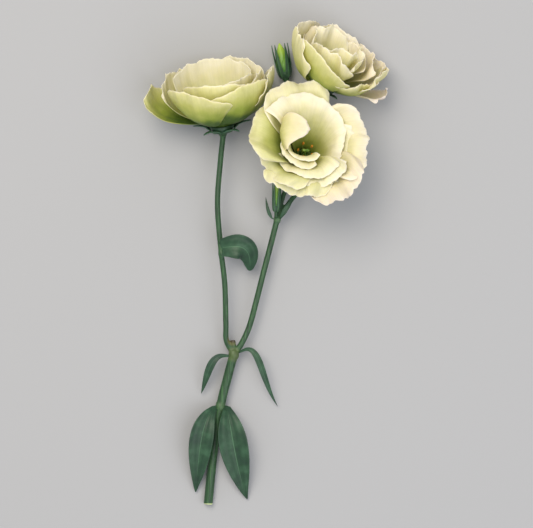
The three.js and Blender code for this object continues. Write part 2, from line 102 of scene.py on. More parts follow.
# where each flower sits on its receptacle, its heading over the table, and how many degrees it rises
BLOOM_AXES = {
    "bloom_a": {"base": (18.5, 57.5, 17), "heading": (5, 16), "rise": 70},
    "bloom_b": {"base": (-25.7, 76, 18.42), "heading": (-4, 33), "rise": 20},
    "bloom_c": {"base": (29, 98.8, 14.25), "heading": (13, 28), "rise": 28},
}
BUD_AXES = {
    "young_bud": {"base": (4.2, 31.6, 12.4), "heading": (0.5, 15), "rise": 8},
    "green_bud": {"base": (9.4, 106.5, 7.5), "heading": (-3, 16), "rise": 4},
}


def axis_frame(base, heading, rise):
    """A flower's own axes as columns, z along the flower and x to the right of the spray, and its base."""
    level = math.cos(math.radians(rise)) / math.hypot(*heading)
    z = np.array([heading[0] * level, heading[1] * level, math.sin(math.radians(rise))])
    x = np.array([1.0, 0, 0]) - z[0] * z
    x /= np.linalg.norm(x)
    return np.stack([x, np.cross(z, x), z], axis=1), np.array(base, float)


def placed(points, axes):
    """Points in a flower's own frame, moved onto the spray."""
    turn, base = axes
    return points @ turn.T + base


def in_frame(points):
    """Points on the spray's plan, in millimetres, as points of the frame, in metres."""
    return (np.asarray(points, float) - ORIGIN) * MM


def through(route, step=2.0):
    """Evenly spread points on the smooth curve that passes through the route's points."""
    knots = np.array(route, float)
    knots = np.vstack([2 * knots[0] - knots[1], knots, 2 * knots[-1] - knots[-2]])
    path = []
    for a, b, c, d in zip(knots, knots[1:], knots[2:], knots[3:]):
        count = max(2, math.ceil(np.linalg.norm(c - b) / step))
        for t in np.arange(count) / count:
            path.append(0.5 * (2 * b + (c - a) * t + (2 * a - 5 * b + 4 * c - d) * t**2
                               + (3 * b - a - 3 * c + d) * t**3))
    path.append(knots[-2])
    return np.array(path)


def only(piece):
    """Leaves one piece selected and active."""
    bpy.ops.object.select_all(action="DESELECT")
    piece.select_set(True)
    bpy.context.view_layer.objects.active = piece


def apply_modifier(piece, kind, **settings):
    """Adds a modifier to a piece with its settings, and applies it."""
    only(piece)
    bpy.ops.object.modifier_add(type=kind)
    modifier = piece.modifiers[-1]
    for name, value in settings.items():
        setattr(modifier, name, value)
    bpy.ops.object.modifier_apply(modifier=modifier.name)


def joined(pieces, name):
    """Several meshes as one named piece."""
    only(pieces[0])
    for piece in pieces:
        piece.select_set(True)
    bpy.ops.object.join()
    whole = bpy.context.object
    whole.name = name
    return whole


def stalk(route, radius, end_radius=None):
    """A round stalk on a route, drawn as a bevelled curve and turned into a mesh with closed ends."""
    points = in_frame(through(route))
    radii = np.linspace(radius, end_radius or radius, len(points))
    bpy.ops.curve.primitive_nurbs_path_add(location=(0, 0, 0))
    piece = bpy.context.object
    curve = piece.data
    curve.splines.clear()
    spline = curve.splines.new("POLY")
    spline.points.add(len(points) - 1)
    for point, place, size in zip(spline.points, points, radii):
        point.co = (*place, 1)
        point.radius = size
    curve.bevel_depth = MM
    curve.bevel_resolution = 5
    curve.use_fill_caps = True
    only(piece)
    bpy.ops.object.convert(target="MESH")
    return bpy.context.object


def swelling(centre, radius, stretch):
    """The thickened place where leaves or branches leave a stalk."""
    bpy.ops.mesh.primitive_uv_sphere_add(
        segments=20, ring_count=12, radius=radius * MM, location=in_frame(centre), scale=(1, stretch, 1))
    bpy.ops.object.transform_apply(location=True, rotation=True, scale=True)
    return bpy.context.object


def seat(axes, depth):
    """The point on a flower's axis, this far below its base."""
    return tuple(placed(np.array([0, 0, -depth]), axes))


def receptacle(axes, foot, top):
    """The receptacle under a flower, which widens from the stalk to the calyx."""
    start = CALYX_DROP + RECEPTACLE_HEIGHT
    end = CALYX_DROP - RECEPTACLE_INSIDE
    return stalk([seat(axes, start), seat(axes, start / 2), seat(axes, end)], foot, top)


AXES = {name: axis_frame(**axis) for name, axis in (BLOOM_AXES | BUD_AXES).items()}
stalk_end = CALYX_DROP + RECEPTACLE_HEIGHT - STALK_INSIDE
# the main stem and the stub; the left branch, which bears bloom B; the right branch and bloom A's pedicel;
# the branch behind bloom A, bloom C's pedicel and the green bud's stalk; the young bud's stalk
stalks = [
    stalk([CUT_END, (-31, -105, 3.8), LOWER_NODE, (-22.6, -61, 6.2), FORK], STEM_RADIUS),
    stalk([FORK, STUB_TOP], STUB_RADIUS),
    stalk([FORK, (-23.6, -42, 8), (-23.9, -32, 9), (-24.5, -10, 11.5), (-26.5, 8, 13), (-28.5, 34, 14.5),
           (-27, 57, 15.2), seat(AXES["bloom_b"], stalk_end)], BRANCH_RADIUS),
    stalk([FORK, (-15.4, -44, 7.6), (-10.8, -34, 8), (-6.8, -19.4, 8.4), (-2.9, -4, 8.6), (1.1, 11.4, 8.8),
           UPPER_NODE], RIGHT_BRANCH_RADIUS),
    stalk([UPPER_NODE, (7.5, 37, 8.6), (11, 46, 7.2), (15.5, 53, 8.5), seat(AXES["bloom_a"], stalk_end)],
          PEDICEL_RADIUS),
    stalk([UPPER_NODE, (12, 36, 7.5), (20, 46, 4.6), (26, 56, 3.4), BUD_NODE], PEDICEL_RADIUS),
    stalk([BUD_NODE, (28.8, 76, 5), (27.6, 85, 6), seat(AXES["bloom_c"], stalk_end)], PEDICEL_RADIUS),
    stalk([BUD_NODE, (24, 76, 4), (17, 91, 4.5), seat(AXES["green_bud"], stalk_end)], GREEN_BUD_STALK),
    stalk([UPPER_NODE, seat(AXES["young_bud"], stalk_end)], YOUNG_BUD_STALK),
]
for place, radius, stretch in SWELLINGS:
    stalks.append(swelling(place, radius, stretch))
for name, (foot, top) in RECEPTACLES.items():
    stalks.append(receptacle(AXES[name], foot, top))
stem = joined(stalks, "green_stem")
apply_modifier(stem, "REMESH", mode="VOXEL", voxel_size=REMESH_CELL * MM, use_smooth_shade=True)
apply_modifier(stem, "SMOOTH", factor=0.5, iterations=7)


def linear(code):
    """An sRGB hex colour as the linear colour that a shader takes."""
    parts = [int(code[i:i + 2], 16) / 255 for i in (1, 3, 5)]
    return tuple(c / 12.92 if c <= 0.04045 else ((c + 0.055) / 1.055) ** 2.4 for c in parts) + (1.0,)


def new_material(name):
    """An empty node material, with its tree and its output."""
    material = bpy.data.materials.new(name)
    material.use_nodes = True
    tree = material.node_tree
    tree.nodes.clear()
    return material, tree, tree.nodes.new("ShaderNodeOutputMaterial")


def add_node(tree, kind, inputs, **settings):
    """Adds a node, sets it up, and feeds each input from another node's output or with a plain value."""
    made = tree.nodes.new("ShaderNode" + kind)
    for name, value in settings.items():
        setattr(made, name, value)
    for socket, value in inputs.items():
        if isinstance(value, bpy.types.NodeSocket):
            tree.links.new(value, made.inputs[socket])
        else:
            made.inputs[socket].default_value = value
    return made


def ramp(tree, factor, stops):
    """A colour ramp from (place, hex colour) stops."""
    made = add_node(tree, "ValToRGB", {"Fac": factor})
    elements = made.color_ramp.elements
    while len(elements) < len(stops):
        elements.new(0.5)
    for element, (place, code) in zip(elements, stops):
        element.position = place
        element.color = linear(code)
    return made.outputs["Color"]


def object_pattern(tree, size, detail=3.0):
    """Cloudy noise on the piece, with features of the given size in millimetres on X, Y and Z."""
    where = add_node(tree, "TexCoord", {})
    scaled = add_node(tree, "Mapping", {"Vector": where.outputs["Object"],
                                        "Scale": tuple(1 / (s * MM) for s in size)})
    cloud = add_node(tree, "TexNoise", {"Vector": scaled.outputs["Vector"], "Scale": 1.0, "Detail": detail})
    return cloud.outputs["Fac"]


# tones of the nodes: place, reach in millimetres, share and colour; the last two are the stub's dry, dark top
NODE_TONES = [
    (FORK, 5.5, 0.5, "#5F6A3C"),
    (UPPER_NODE, 2.6, 0.35, "#8FAA80"),
    (LOWER_NODE, 4.5, 0.3, "#5C774E"),
    (STUB_TOP, 4, 0.6, "#6A6238"),
    (STUB_TOP, 2.3, 0.9, "#3A2E22"),
]
PITH_DEPTH = 0.9

# herbaceous stem: a waxy green skin with long paler ribs, browner at the nodes, and pale pith at the cut
herbaceous_stem, tree, output = new_material("herbaceous_stem")
streaks = object_pattern(tree, (0.7, 16, 0.7))
skin = ramp(tree, streaks, [(0.3, "#1D3622"), (0.52, "#284B2D"), (0.75, "#3E653C")])
where = add_node(tree, "TexCoord", {}).outputs["Object"]
for place, reach, share, code in NODE_TONES:
    away = add_node(tree, "VectorMath", {0: where, 1: tuple(in_frame(place))}, operation="DISTANCE")
    near = add_node(tree, "MapRange", {"Value": away.outputs["Value"], "From Min": reach * MM,
                                       "From Max": reach * MM * 0.6, "To Max": share},
                    interpolation_type="SMOOTHSTEP")
    skin = add_node(tree, "Mix", {"Factor": near.outputs["Result"], "A": skin, "B": linear(code)},
                    data_type="RGBA").outputs["Result"]
along = add_node(tree, "SeparateXYZ", {"Vector": where}).outputs["Y"]
cut_face = (CUT_END[1] - ORIGIN[1]) * MM
cut = add_node(tree, "MapRange", {"Value": along, "From Min": cut_face + PITH_DEPTH * MM,
                                  "From Max": cut_face + PITH_DEPTH / 3 * MM})
skin = add_node(tree, "Mix", {"Factor": cut.outputs["Result"], "A": skin, "B": linear("#C9D3A0")},
                data_type="RGBA").outputs["Result"]
ribs = add_node(tree, "Bump", {"Height": streaks, "Strength": 0.35, "Distance": 0.25 * MM})
surface = add_node(tree, "BsdfPrincipled", {
    "Base Color": skin, "Roughness": 0.42, "Normal": ribs.outputs["Normal"], "Specular IOR Level": 0.4,
    "Subsurface Weight": 0.12, "Subsurface Radius": (0.5, 1.0, 0.3), "Subsurface Scale": 0.6 * MM})
tree.links.new(surface.outputs["BSDF"], output.inputs["Surface"])


def finished(piece, material, slot, *nodes):
    """Gives a piece its one material, smooth faces, its body and the solids that it stands for; slot is not
    used.
    """
    piece.data.materials.clear()
    piece.data.materials.append(material)
    only(piece)
    bpy.ops.object.shade_smooth()
    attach(piece, "root")
    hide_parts(*nodes)


finished(stem, herbaceous_stem, "stem", "stem")

# ---- corollas ----
# The petals of one bloom, which grow from a common tube: thin, papery and silky, cream at the margin and
# greener towards the claw. Each petal is a fine grid laid on one formula: a midrib that arches outwards,
# a claw that clasps the tube, and a margin that waves in broad folds and in fine ruffles and notches.

TUBE_OUTER = 6.1
TUBE_BORE = 3.4
TUBE_HEIGHT = 7
TUBE_FLOOR = 1.6
PETAL_THICKNESS = 0.26
PETAL_GRID = (56, 50)
# the claw's width as a share of the petal's, where along it the petal has its full width, and how it flares
CLAW = 0.16
FULL_WIDTH_AT = 0.8
CLAW_FLARE = 1.8
# the tightest radius that a petal's base is bent to
LEAST_RADIUS = 3
# the notches' depth as a share of the petal's length, and the heights of its other small folds
MARGIN_JAG = 0.034
MARGIN_RUFFLE = 0.4
BUCKLE = 0.5
PLEAT = 0.14
# how far in from the margin its painted highlight fades out
RIM_HIGHLIGHT_WIDTH = 0.7
# counts and heights of the margin's notches and ruffles; the counts are over a width of 2 * RIPPLE_SPAN
RIPPLE_SPAN = 20
NOTCHES = ((2.8, 5.5, 10, 17), (0.5, 0.3, 0.25, 0.15))
RUFFLES = ((3.5, 6, 11), (0.9, 0.8, 0.5))

# The forms of the petals: the radius and height of the root on the tube, the midrib's belly and crest as
# shares of reach and height, how far the petal is cupped, how round its end is, the height and number of
# its waves, how far its end rolls outwards, and how far one side is skewed over the next petal.
PETAL_KINDS = {
    "spreading_outer": {"root": (5.2, 4), "belly": (0.33, 0.36), "crest": (0.6, 1.16), "cup": 0.3,
                        "round": 0.3, "wave": 1.9, "waves": 1.8, "roll": 2.6, "skew": 2.1},
    "spreading_middle": {"root": (4.6, 4.3), "belly": (0.32, 0.42), "crest": (0.58, 1.12), "cup": 0.55,
                         "round": 0.28, "wave": 1.5, "waves": 1.7, "roll": 1.8, "skew": 2.1},
    "spreading_inner": {"root": (4.1, 4.6), "belly": (0.4, 0.42), "crest": (0.56, 1), "cup": 0.85,
                        "round": 0.28, "wave": 1, "waves": 1.5, "roll": 1, "skew": 1.8},
    "bowl_outer": {"root": (5.2, 4), "belly": (0.7, 0.16), "crest": (1.12, 0.56), "cup": 0.62,
                   "round": 0.34, "wave": 0.9, "waves": 1.4, "roll": 0.7, "skew": -1.8},
    "bowl_middle": {"root": (4.6, 4.3), "belly": (0.68, 0.2), "crest": (1.06, 0.58), "cup": 0.7,
                    "round": 0.3, "wave": 0.8, "waves": 1.5, "roll": 0.4, "skew": -1.8},
    "bowl_inner": {"root": (4.1, 4.6), "belly": (0.66, 0.24), "crest": (1, 0.62), "cup": 0.85,
                   "round": 0.28, "wave": 0.9, "waves": 1.5, "roll": 0.3, "skew": -1.6},
}
# Each petal, from the outer ones inwards: azimuth in degrees, reach, height of the tip, width, kind, phase
# of its waves, and changes to the kind. A petal may wrap the bloom by so many degrees to each side, lean its
# end to one side, shift its tip aside, bend on a midrib of its own, or have a calmer margin by a jag under 1.
# Green and blush set its tone. Green is partly the tissue's own greener tone and partly painted shade on
# petals that lie in shadow; a green below 0 is painted light that makes a lit petal creamier.
BLOOM_PETALS = {
    "bloom_a": [
        (106, 37, 34, 42, "spreading_outer", 0.6, {"wave": 1.5, "green": 0.5, "jag": 0.6}),
        (4, 34, 28, 48, "spreading_outer", 1.0, {"roll": 1.5, "wave": 1.2, "blush": 0.4, "green": 0.5}),
        (-50, 37, 27, 38, "spreading_outer", 3.4, {"wave": 2.0, "round": 0.34, "blush": 0.8, "green": 0.8}),
        (-105, 30, 26, 42, "spreading_outer", 5.2, {"green": 0.9}),
        (-145, 28, 28.5, 44, "spreading_outer", 4.0, {"green": 1.1, "jag": 0.7}),
        (160, 33, 32, 46, "spreading_outer", 2.6, {"cup": 0.6, "green": 1.3, "jag": 0.6}),
        (-18, 28, 24, 40, "spreading_outer", 1.4, {"wave": 0.6, "cup": 0.6, "round": 0.2}),
        (60, 31, 36, 60, "spreading_middle", 0.2,
         {"wrap": 88, "wave": 0.9, "round": 0.08, "lean": 0.4, "roll": 2.4, "green": -0.1, "jag": 0.7}),
        (-75, 28, 30, 50, "spreading_middle", 4.2,
         {"wrap": 50, "round": 0.14, "wave": 1, "lean": 0.15, "jag": 0.7, "green": 0.4}),
        (-98, 23.5, 32, 54, "spreading_middle", 2.2,
         {"wrap": 64, "round": 0.1, "wave": 0.7, "lean": 0.2, "jag": 0.6, "green": 0.4}),
        (-130, 17, 33, 42, "spreading_inner", 1.2,
         {"wrap": 58, "round": 0.1, "wave": 0.6, "lean": 0.1, "jag": 0.6, "green": 0.4}),
        (-118, 12.5, 33, 36, "spreading_inner", 0.7,
         {"wrap": 64, "round": 0.08, "wave": 0.4, "roll": 0.5, "jag": 0.5, "green": 0.5}),
        (172, 1, 38, 21, "spreading_inner", 3.2,
         {"cup": 0.4, "roll": 0, "wave": 0.4, "blush": 0.5, "green": 0.4, "shift": -5, "jag": 0.4,
          "midrib": ((4.1, 4.6), (13, 18), (26, 47), (1, 38))}),
    ],
    "bloom_b": [
        (168, 38, 26, 38, "bowl_outer", 0.6, {"cup": 0.5, "green": 1.5, "jag": 0.6}),
        (-125, 27, 32, 60, "bowl_outer", 2.0,
         {"green": 1, "cup": 1.1, "round": 0.3, "wave": 0.5, "lean": -0.12, "jag": 0.4}),
        (-45, 26, 30, 52, "bowl_outer", 1.0, {"green": 1, "round": 0.2, "cup": 0.9, "wave": 0.5, "jag": 0.5}),
        (2, 30, 31, 44, "bowl_outer", 3.4, {"green": 0.3, "wave": 1.2}),
        (60, 25, 34, 50, "bowl_outer", 2.6, {"jag": 0.6}),
        (150, 29, 31, 50, "bowl_outer", 5.2, {"cup": 0.9, "round": 0.2, "wave": 0.6, "green": 0.2}),
        (94, 21, 35, 76, "bowl_middle", 4.2, {"wrap": 78, "round": 0.1, "wave": 0.5, "jag": 0.6}),
        (-95, 22, 32, 56, "bowl_middle", 0.2,
         {"green": 0.7, "wrap": 60, "round": 0.1, "wave": 0.3, "jag": 0.4}),
        (-6, 23, 31, 40, "bowl_middle", 1.4, {"wave": 1.2, "waves": 2}),
        (-38, 18.5, 31.5, 40, "bowl_inner", 0.7, {"wrap": 58, "wave": 0.4, "round": 0.12, "jag": 0.4}),
    ],
    "bloom_c": [
        (200, 27, 32, 40, "bowl_outer", 0.6, {"cup": 0.8, "wave": 0.7, "green": 0.2}),
        (-108, 28, 37, 52, "bowl_outer", 2.0,
         {"green": 0.9, "lean": -0.35, "cup": 0.9, "round": 0.2, "wave": 0.4, "jag": 0.4}),
        (-45, 24, 19, 42, "bowl_outer", 1.0, {"belly": (0.6, 0.2), "green": 0.9}),
        (-10, 28, 25, 42, "bowl_outer", 3.4, {"green": 0.4, "wave": 1.5}),
        (-6, 33, 13, 28, "bowl_outer", 5.2, {"belly": (0.55, 0.2), "cup": 0.3, "blush": 1, "green": -0.6}),
        (98, 17, 31, 44, "bowl_outer", 4.0,
         {"crest": (1.02, 0.6), "blush": 0.3, "wave": 1.8, "waves": 2.2, "jag": 0.7}),
        (148, 23, 31, 42, "bowl_outer", 2.6, {"blush": 0.2, "wave": 1.4, "jag": 0.7}),
        (11, 28, 24, 36, "bowl_middle", 4.2, {"blush": 0.5, "wave": 1.4}),
        (30, 22, 27, 42, "bowl_middle", 5.5, {"blush": 0.5, "wave": 1.6, "waves": 2}),
        (65, 15, 28, 42, "bowl_middle", 3.6, {"blush": 0.3, "wave": 1.6, "waves": 2}),
        (-115, 17, 31, 38, "bowl_middle", 0.2, {"wave": 1.6, "waves": 2}),
        (130, 13, 33, 34, "bowl_inner", 1.2, {"wave": 1.6, "waves": 2.2}),
        (20, 14, 29, 34, "bowl_inner", 2.4, {"wave": 1.6, "waves": 2.2}),
        (-70, 9, 31, 30, "bowl_inner", 3.3, {"wave": 1.4, "waves": 2}),
    ],
}


def eased(low, high, x):
    """Rises softly from 0 at low to 1 at high."""
    t = np.clip((x - low) / (high - low), 0, 1)
    return t * t * (3 - 2 * t)


def ripple(rng, x, counts, heights):
    """A sum of sine waves with about the given counts over x from -1 to 1, each with a phase of its own."""
    total = 0
    for count, size in zip(counts, heights):
        pace = math.pi * count * rng.uniform(0.85, 1.15)
        total = total + size * np.sin(pace * x + rng.uniform(0, 2 * math.pi))
    return total


def petal_points(row, across, along, seed):
    """Points of one petal in its bloom's frame, and how near each is to the margin.

    Across and along run from 0 to 1. The midrib is a Bezier curve of radius and height, and each point of
    the blade lies aside from it and is lifted off it, towards the bloom's axis.
    """
    azimuth, reach, height, width, kind, phase, changes = row
    form = {"lean": 0, "wrap": 0, "shift": 0, "jag": 1} | PETAL_KINDS[kind] | changes
    midrib = np.array(form.get("midrib") or (
        form["root"],
        (max(form["root"][0] + 1, form["belly"][0] * reach), form["belly"][1] * height),
        (form["crest"][0] * reach, form["crest"][1] * height),
        (reach, height),
    ), float)
    u = across * 2 - 1
    side = np.abs(u)
    wrap = math.radians(form["wrap"])
    rng = np.random.default_rng(seed)

    # where the blade ends: rounded or leaning to one side, and notched
    arc = u * (reach * wrap or width / 2) / RIPPLE_SPAN
    jag = form["jag"] * ripple(rng, arc, *NOTCHES)
    shorter = form["round"] * side**2.6 + abs(form["lean"]) * eased(-1, 1, -np.sign(form["lean"]) * u)
    t = along * (1 - shorter) * (1 + MARGIN_JAG * jag * eased(0.6, 1, along))

    # the midrib and its slope at each point
    bends = [(1 - t) ** 3, 3 * t * (1 - t) ** 2, 3 * t**2 * (1 - t), t**3]
    r, h = (sum(b * p[i] for b, p in zip(bends, midrib)) for i in (0, 1))
    slopes = [(1 - t) ** 2, 2 * t * (1 - t), t**2]
    dr, dh = (sum(s * (q[i] - p[i]) for s, p, q in zip(slopes, midrib, midrib[1:])) for i in (0, 1))
    length = np.hypot(dr, dh) + 1e-9

    # its section across: wrapped about the bloom's axis, or bent round the tube at the claw and cupped above
    turn = math.radians(azimuth)
    if wrap:
        turn = turn + wrap * u
        half = np.maximum(r, LEAST_RADIUS) * wrap
        aside, lift = 0, 0
    else:
        flare = np.sin(np.pi / 2 * np.minimum(1, t / FULL_WIDTH_AT)) ** CLAW_FLARE
        half = width / 2 * (CLAW + (1 - CLAW) * flare)
        cupped = eased(0.3, 1, t)
        bend = (1 - cupped) / np.maximum(r, LEAST_RADIUS) + cupped * form["cup"] / (width / 2)
        aside = np.sin(bend * half * u) / bend
        lift = (1 - np.cos(bend * half * u)) / bend
    aside = aside + form["shift"] * t**2

    # broad waves, a rolled end, the skew over the next petal, and then the small folds
    margin = np.maximum(eased(0.45, 1, along), eased(0.5, 1, side) * eased(0.3, 0.8, along))
    cycle = form["waves"] * (u * 0.5 + 0.45 * (along - 0.6) * u)
    lift = lift + form["wave"] * margin * np.sin(2 * np.pi * cycle + phase)
    lift -= form["roll"] * eased(0.72, 1, along) ** 2
    lift += form["skew"] * u * (0.1 + 0.9 * eased(0, 0.5, t))
    rim = eased(0.7, 1, np.maximum(along, side * eased(0.3, 0.9, along)))
    lift += MARGIN_RUFFLE * form["jag"] * rim * ripple(rng, arc + 0.15 * along, *RUFFLES)
    lift += BUCKLE * eased(0.25, 0.7, along) * ripple(rng, 0.6 * arc + 0.8 * along, (1.1,), (1,))
    lift += PLEAT * eased(0.1, 0.5, along) * ripple(rng, arc, (3.5,), (1,))

    out = r - dh / length * lift
    from_margin = np.minimum((1 - along) * (reach + height), (1 - side) * half)
    points = np.stack([out * np.cos(turn) - aside * np.sin(turn),
                       out * np.sin(turn) + aside * np.cos(turn),
                       h + dr / length * lift], axis=-1)
    return points, np.exp(-from_margin / RIM_HIGHLIGHT_WIDTH)


def shaped_grid(cells, surface, axes, thickness):
    """A grid primitive laid on surface(across, along) in a flower's frame, then given its thickness.

    A petal's surface also says how near each point is to the margin. That is painted on both sides of the
    blade as its rim, which the finish lightens as a painted highlight, and the side that looks outwards is
    painted as its underside.
    """
    bpy.ops.mesh.primitive_grid_add(x_subdivisions=cells[0], y_subdivisions=cells[1], size=1, calc_uvs=True)
    piece = bpy.context.object
    mesh = piece.data
    mesh.uv_layers[0].name = "blade"
    flat = np.empty(len(mesh.vertices) * 3, np.float32)
    mesh.vertices.foreach_get("co", flat)
    plan = flat.reshape(-1, 3)
    points = surface(plan[:, 0] + 0.5, plan[:, 1] + 0.5)
    rims = None
    if isinstance(points, tuple):
        points, rims = points
    mesh.vertices.foreach_set("co", in_frame(placed(points, axes)).ravel())
    mesh.update()
    apply_modifier(piece, "SOLIDIFY", thickness=thickness * MM, offset=0)
    if rims is not None:
        paint(piece, "rim", np.concatenate([rims, rims]))
        paint(piece, "under", np.repeat([1, 0], len(rims)))
    return piece


def paint(piece, name, values):
    """Values at a piece's points, or one for all of them, which its finish reads as an attribute."""
    attribute = piece.data.attributes.new(name, "FLOAT", "POINT")
    count = len(piece.data.vertices)
    attribute.data.foreach_set("value", np.broadcast_to(np.asarray(values, np.float32), count).copy())


def lathed(profile, axes, segments=28):
    """A round piece spun from its profile of (radius, height), closed where the profile meets the axis."""
    bpy.ops.mesh.primitive_plane_add(size=MM)
    piece = bpy.context.object
    bpy.ops.object.mode_set(mode="EDIT")
    bpy.ops.mesh.delete(type="VERT")
    bpy.ops.object.mode_set(mode="OBJECT")
    mesh = piece.data
    mesh.vertices.add(len(profile))
    mesh.edges.add(len(profile) - 1)
    for vertex, (r, h) in zip(mesh.vertices, profile):
        vertex.co = (r, 0, h)
    for i, edge in enumerate(mesh.edges):
        edge.vertices = (i, i + 1)
    only(piece)
    bpy.ops.object.mode_set(mode="EDIT")
    bpy.ops.mesh.select_all(action="SELECT")
    bpy.ops.mesh.spin(steps=segments, angle=2 * math.pi, center=(0, 0, 0), axis=(0, 0, 1))
    bpy.ops.mesh.select_all(action="SELECT")
    bpy.ops.mesh.remove_doubles(threshold=1e-3)
    bpy.ops.mesh.normals_make_consistent(inside=False)
    bpy.ops.object.mode_set(mode="OBJECT")
    points = np.empty(len(mesh.vertices) * 3, np.float32)
    mesh.vertices.foreach_get("co", points)
    mesh.vertices.foreach_set("co", in_frame(placed(points.reshape(-1, 3), axes)).ravel())
    mesh.update()
    return piece


TUBE_PROFILE = [
    (0, 0),
    (TUBE_OUTER * 0.6, 0),
    (TUBE_OUTER * 0.9, 1.5),
    (TUBE_OUTER, 4),
    (TUBE_OUTER, TUBE_HEIGHT),
    (TUBE_OUTER - 0.8, TUBE_HEIGHT + 0.4),
    (TUBE_BORE + 0.3, TUBE_HEIGHT),
    (TUBE_BORE, TUBE_FLOOR),
    (0, TUBE_FLOOR),
]

corollas = {}
for bloom_number, (name, rows) in enumerate(BLOOM_PETALS.items()):
    axes = AXES[name]
    tube = lathed(TUBE_PROFILE, axes)
    tube.data.uv_layers.new(name="blade")
    for mark, value in (("blush", 0), ("green", 1), ("rim", 0), ("under", 1)):
        paint(tube, mark, value)
    blades = [tube]
    for petal_number, row in enumerate(rows):
        seed = 100 * bloom_number + petal_number
        blade = shaped_grid(PETAL_GRID, lambda u, v: petal_points(row, u, v, seed), axes, PETAL_THICKNESS)
        # green: partly the petal's own green, partly painted shade, and painted light where below 0
        for mark in ("blush", "green"):
            paint(blade, mark, row[6].get(mark, 0))
        blades.append(blade)
    corollas[name] = joined(blades, name + "_corolla")

# petal: thin silky tissue; light passes into it, veins fan out from the claw, the underside is greener,
# and the margin is lightened as a painted highlight along the thin edge
petal_tissue, tree, output = new_material("petal_tissue")
uv = add_node(tree, "UVMap", {}, uv_map="blade").outputs["UV"]
along = add_node(tree, "SeparateXYZ", {"Vector": uv}).outputs["Y"]
cloud = object_pattern(tree, (7, 7, 7))
height = add_node(tree, "Math", {0: cloud, 1: 0.3, 2: along}, operation="MULTIPLY_ADD").outputs["Value"]
height = add_node(tree, "Math", {0: height, 1: 0.15}, operation="SUBTRACT").outputs["Value"]
# green darkens the tone, partly as the tissue's own green and partly as painted shade; rim lightens it as a
# painted highlight
for mark, weight in (("green", -0.2), ("under", -0.14), ("rim", 0.2)):
    share = add_node(tree, "Attribute", {}, attribute_name=mark).outputs["Fac"]
    moved = add_node(tree, "Math", {0: share, 1: weight, 2: height}, operation="MULTIPLY_ADD")
    height = moved.outputs["Value"]
tone = ramp(tree, height, [(0.04, "#56752A"), (0.22, "#A4B44A"), (0.42, "#CCCE76"), (0.62, "#E6E3A6"),
                           (0.8, "#F7F1C8"), (0.96, "#FFFAE4")])
pink = ramp(tree, height, [(0.04, "#86A23C"), (0.22, "#C8CC74"), (0.42, "#E6E0A8"), (0.62, "#F4E8C6"),
                           (0.8, "#FBEEDA"), (0.96, "#FFF6EA")])
blush = add_node(tree, "Attribute", {}, attribute_name="blush").outputs["Fac"]
tone = add_node(tree, "Mix", {"Factor": blush, "A": tone, "B": pink}, data_type="RGBA").outputs["Result"]
spread = add_node(tree, "Mapping", {"Vector": uv, "Scale": (110, 2.2, 1)}).outputs["Vector"]
veins = add_node(tree, "TexNoise", {"Vector": spread, "Scale": 1.0, "Detail": 2.0}).outputs["Fac"]
shade = add_node(tree, "MapRange", {"Value": veins, "From Min": 0.35, "From Max": 0.65,
                                    "To Min": 0.96, "To Max": 1.02}).outputs["Result"]
tone = add_node(tree, "VectorMath", {0: tone, "Scale": shade}, operation="SCALE").outputs["Vector"]
relief = add_node(tree, "Bump", {"Height": veins, "Strength": 0.12, "Distance": 0.12 * MM}).outputs["Normal"]
silk = add_node(tree, "BsdfPrincipled", {
    "Base Color": tone, "Roughness": 0.5, "Normal": relief, "Specular IOR Level": 0.3,
    "Subsurface Weight": 0.2, "Subsurface Radius": (1.0, 0.9, 0.5), "Subsurface Scale": 1.5 * MM,
    "Sheen Weight": 0.05, "Sheen Roughness": 0.4})
lit_through = add_node(tree, "Gamma", {"Color": tone, "Gamma": 1.35}).outputs["Color"]
through_light = add_node(tree, "BsdfTranslucent", {"Color": lit_through})
mixed = add_node(tree, "MixShader", {0: 0.3, 1: silk.outputs["BSDF"], 2: through_light.outputs["BSDF"]})
tree.links.new(mixed.outputs["Shader"], output.inputs["Surface"])

for name, corolla in corollas.items():
    finished(corolla, petal_tissue, "petal", name + "_petals")

# ---- calyces ----
# Five narrow keeled sepals that join in a shallow cup under each bloom: firm green leaf tissue.
# The cup is spun from its wall, and each sepal is a folded blade that tapers to a fine point.

CALYX_HEIGHT = 3.2
SEPALS = 5
SEPAL_TURN = 18
SEPAL_WIDTH = 3.6
SEPAL_BASE_WIDTH = 7.4
SEPAL_THICKNESS = 0.6
SEPAL_GRID = (12, 30)
KEEL = 0.7
# radius and height of the sepals' tips, below and outside the petals
SEPAL_TIPS = {"bloom_a": (17, 11), "bloom_b": (17, 2), "bloom_c": (14.5, 3)}
CALYX_PROFILE = [
    (0, -CALYX_DROP),
    (4.3, -CALYX_DROP),
    (6.5, 0.7),
    (7.2, CALYX_HEIGHT),
    (6.6, CALYX_HEIGHT),
    (5.85, 1.1),
    (3.8, -0.3),
    (0, -0.3),
]


def bezier(points, t):
    """Points of a Bezier curve at each t, for control points of any number."""
    rows = [np.broadcast_to(np.asarray(p, float), t.shape + (len(p),)) for p in points]
    while len(rows) > 1:
        rows = [a + (b - a) * t[..., None] for a, b in zip(rows, rows[1:])]
    return rows[0]


def sepal(azimuth, midrib, width, base_width, axes, thickness):
    """One keeled sepal on a midrib of (radius, height) points; its broad base clasps what it grows round."""
    turn = math.radians(azimuth)

    def surface(across, along):
        u = across * 2 - 1
        rib = bezier(midrib, along)
        half = (base_width + (width - base_width) * eased(0.05, 0.4, along)) / 2 * (1 - along**1.6 * 0.98)
        out = rib[..., 0] + KEEL * (1 - np.abs(u)) ** 2 * (1 - along)
        angle = turn + u * half / np.maximum(rib[..., 0], 1)
        return np.stack([out * np.cos(angle), out * np.sin(angle), rib[..., 1]], axis=-1)

    return shaped_grid(SEPAL_GRID, surface, axes, thickness)


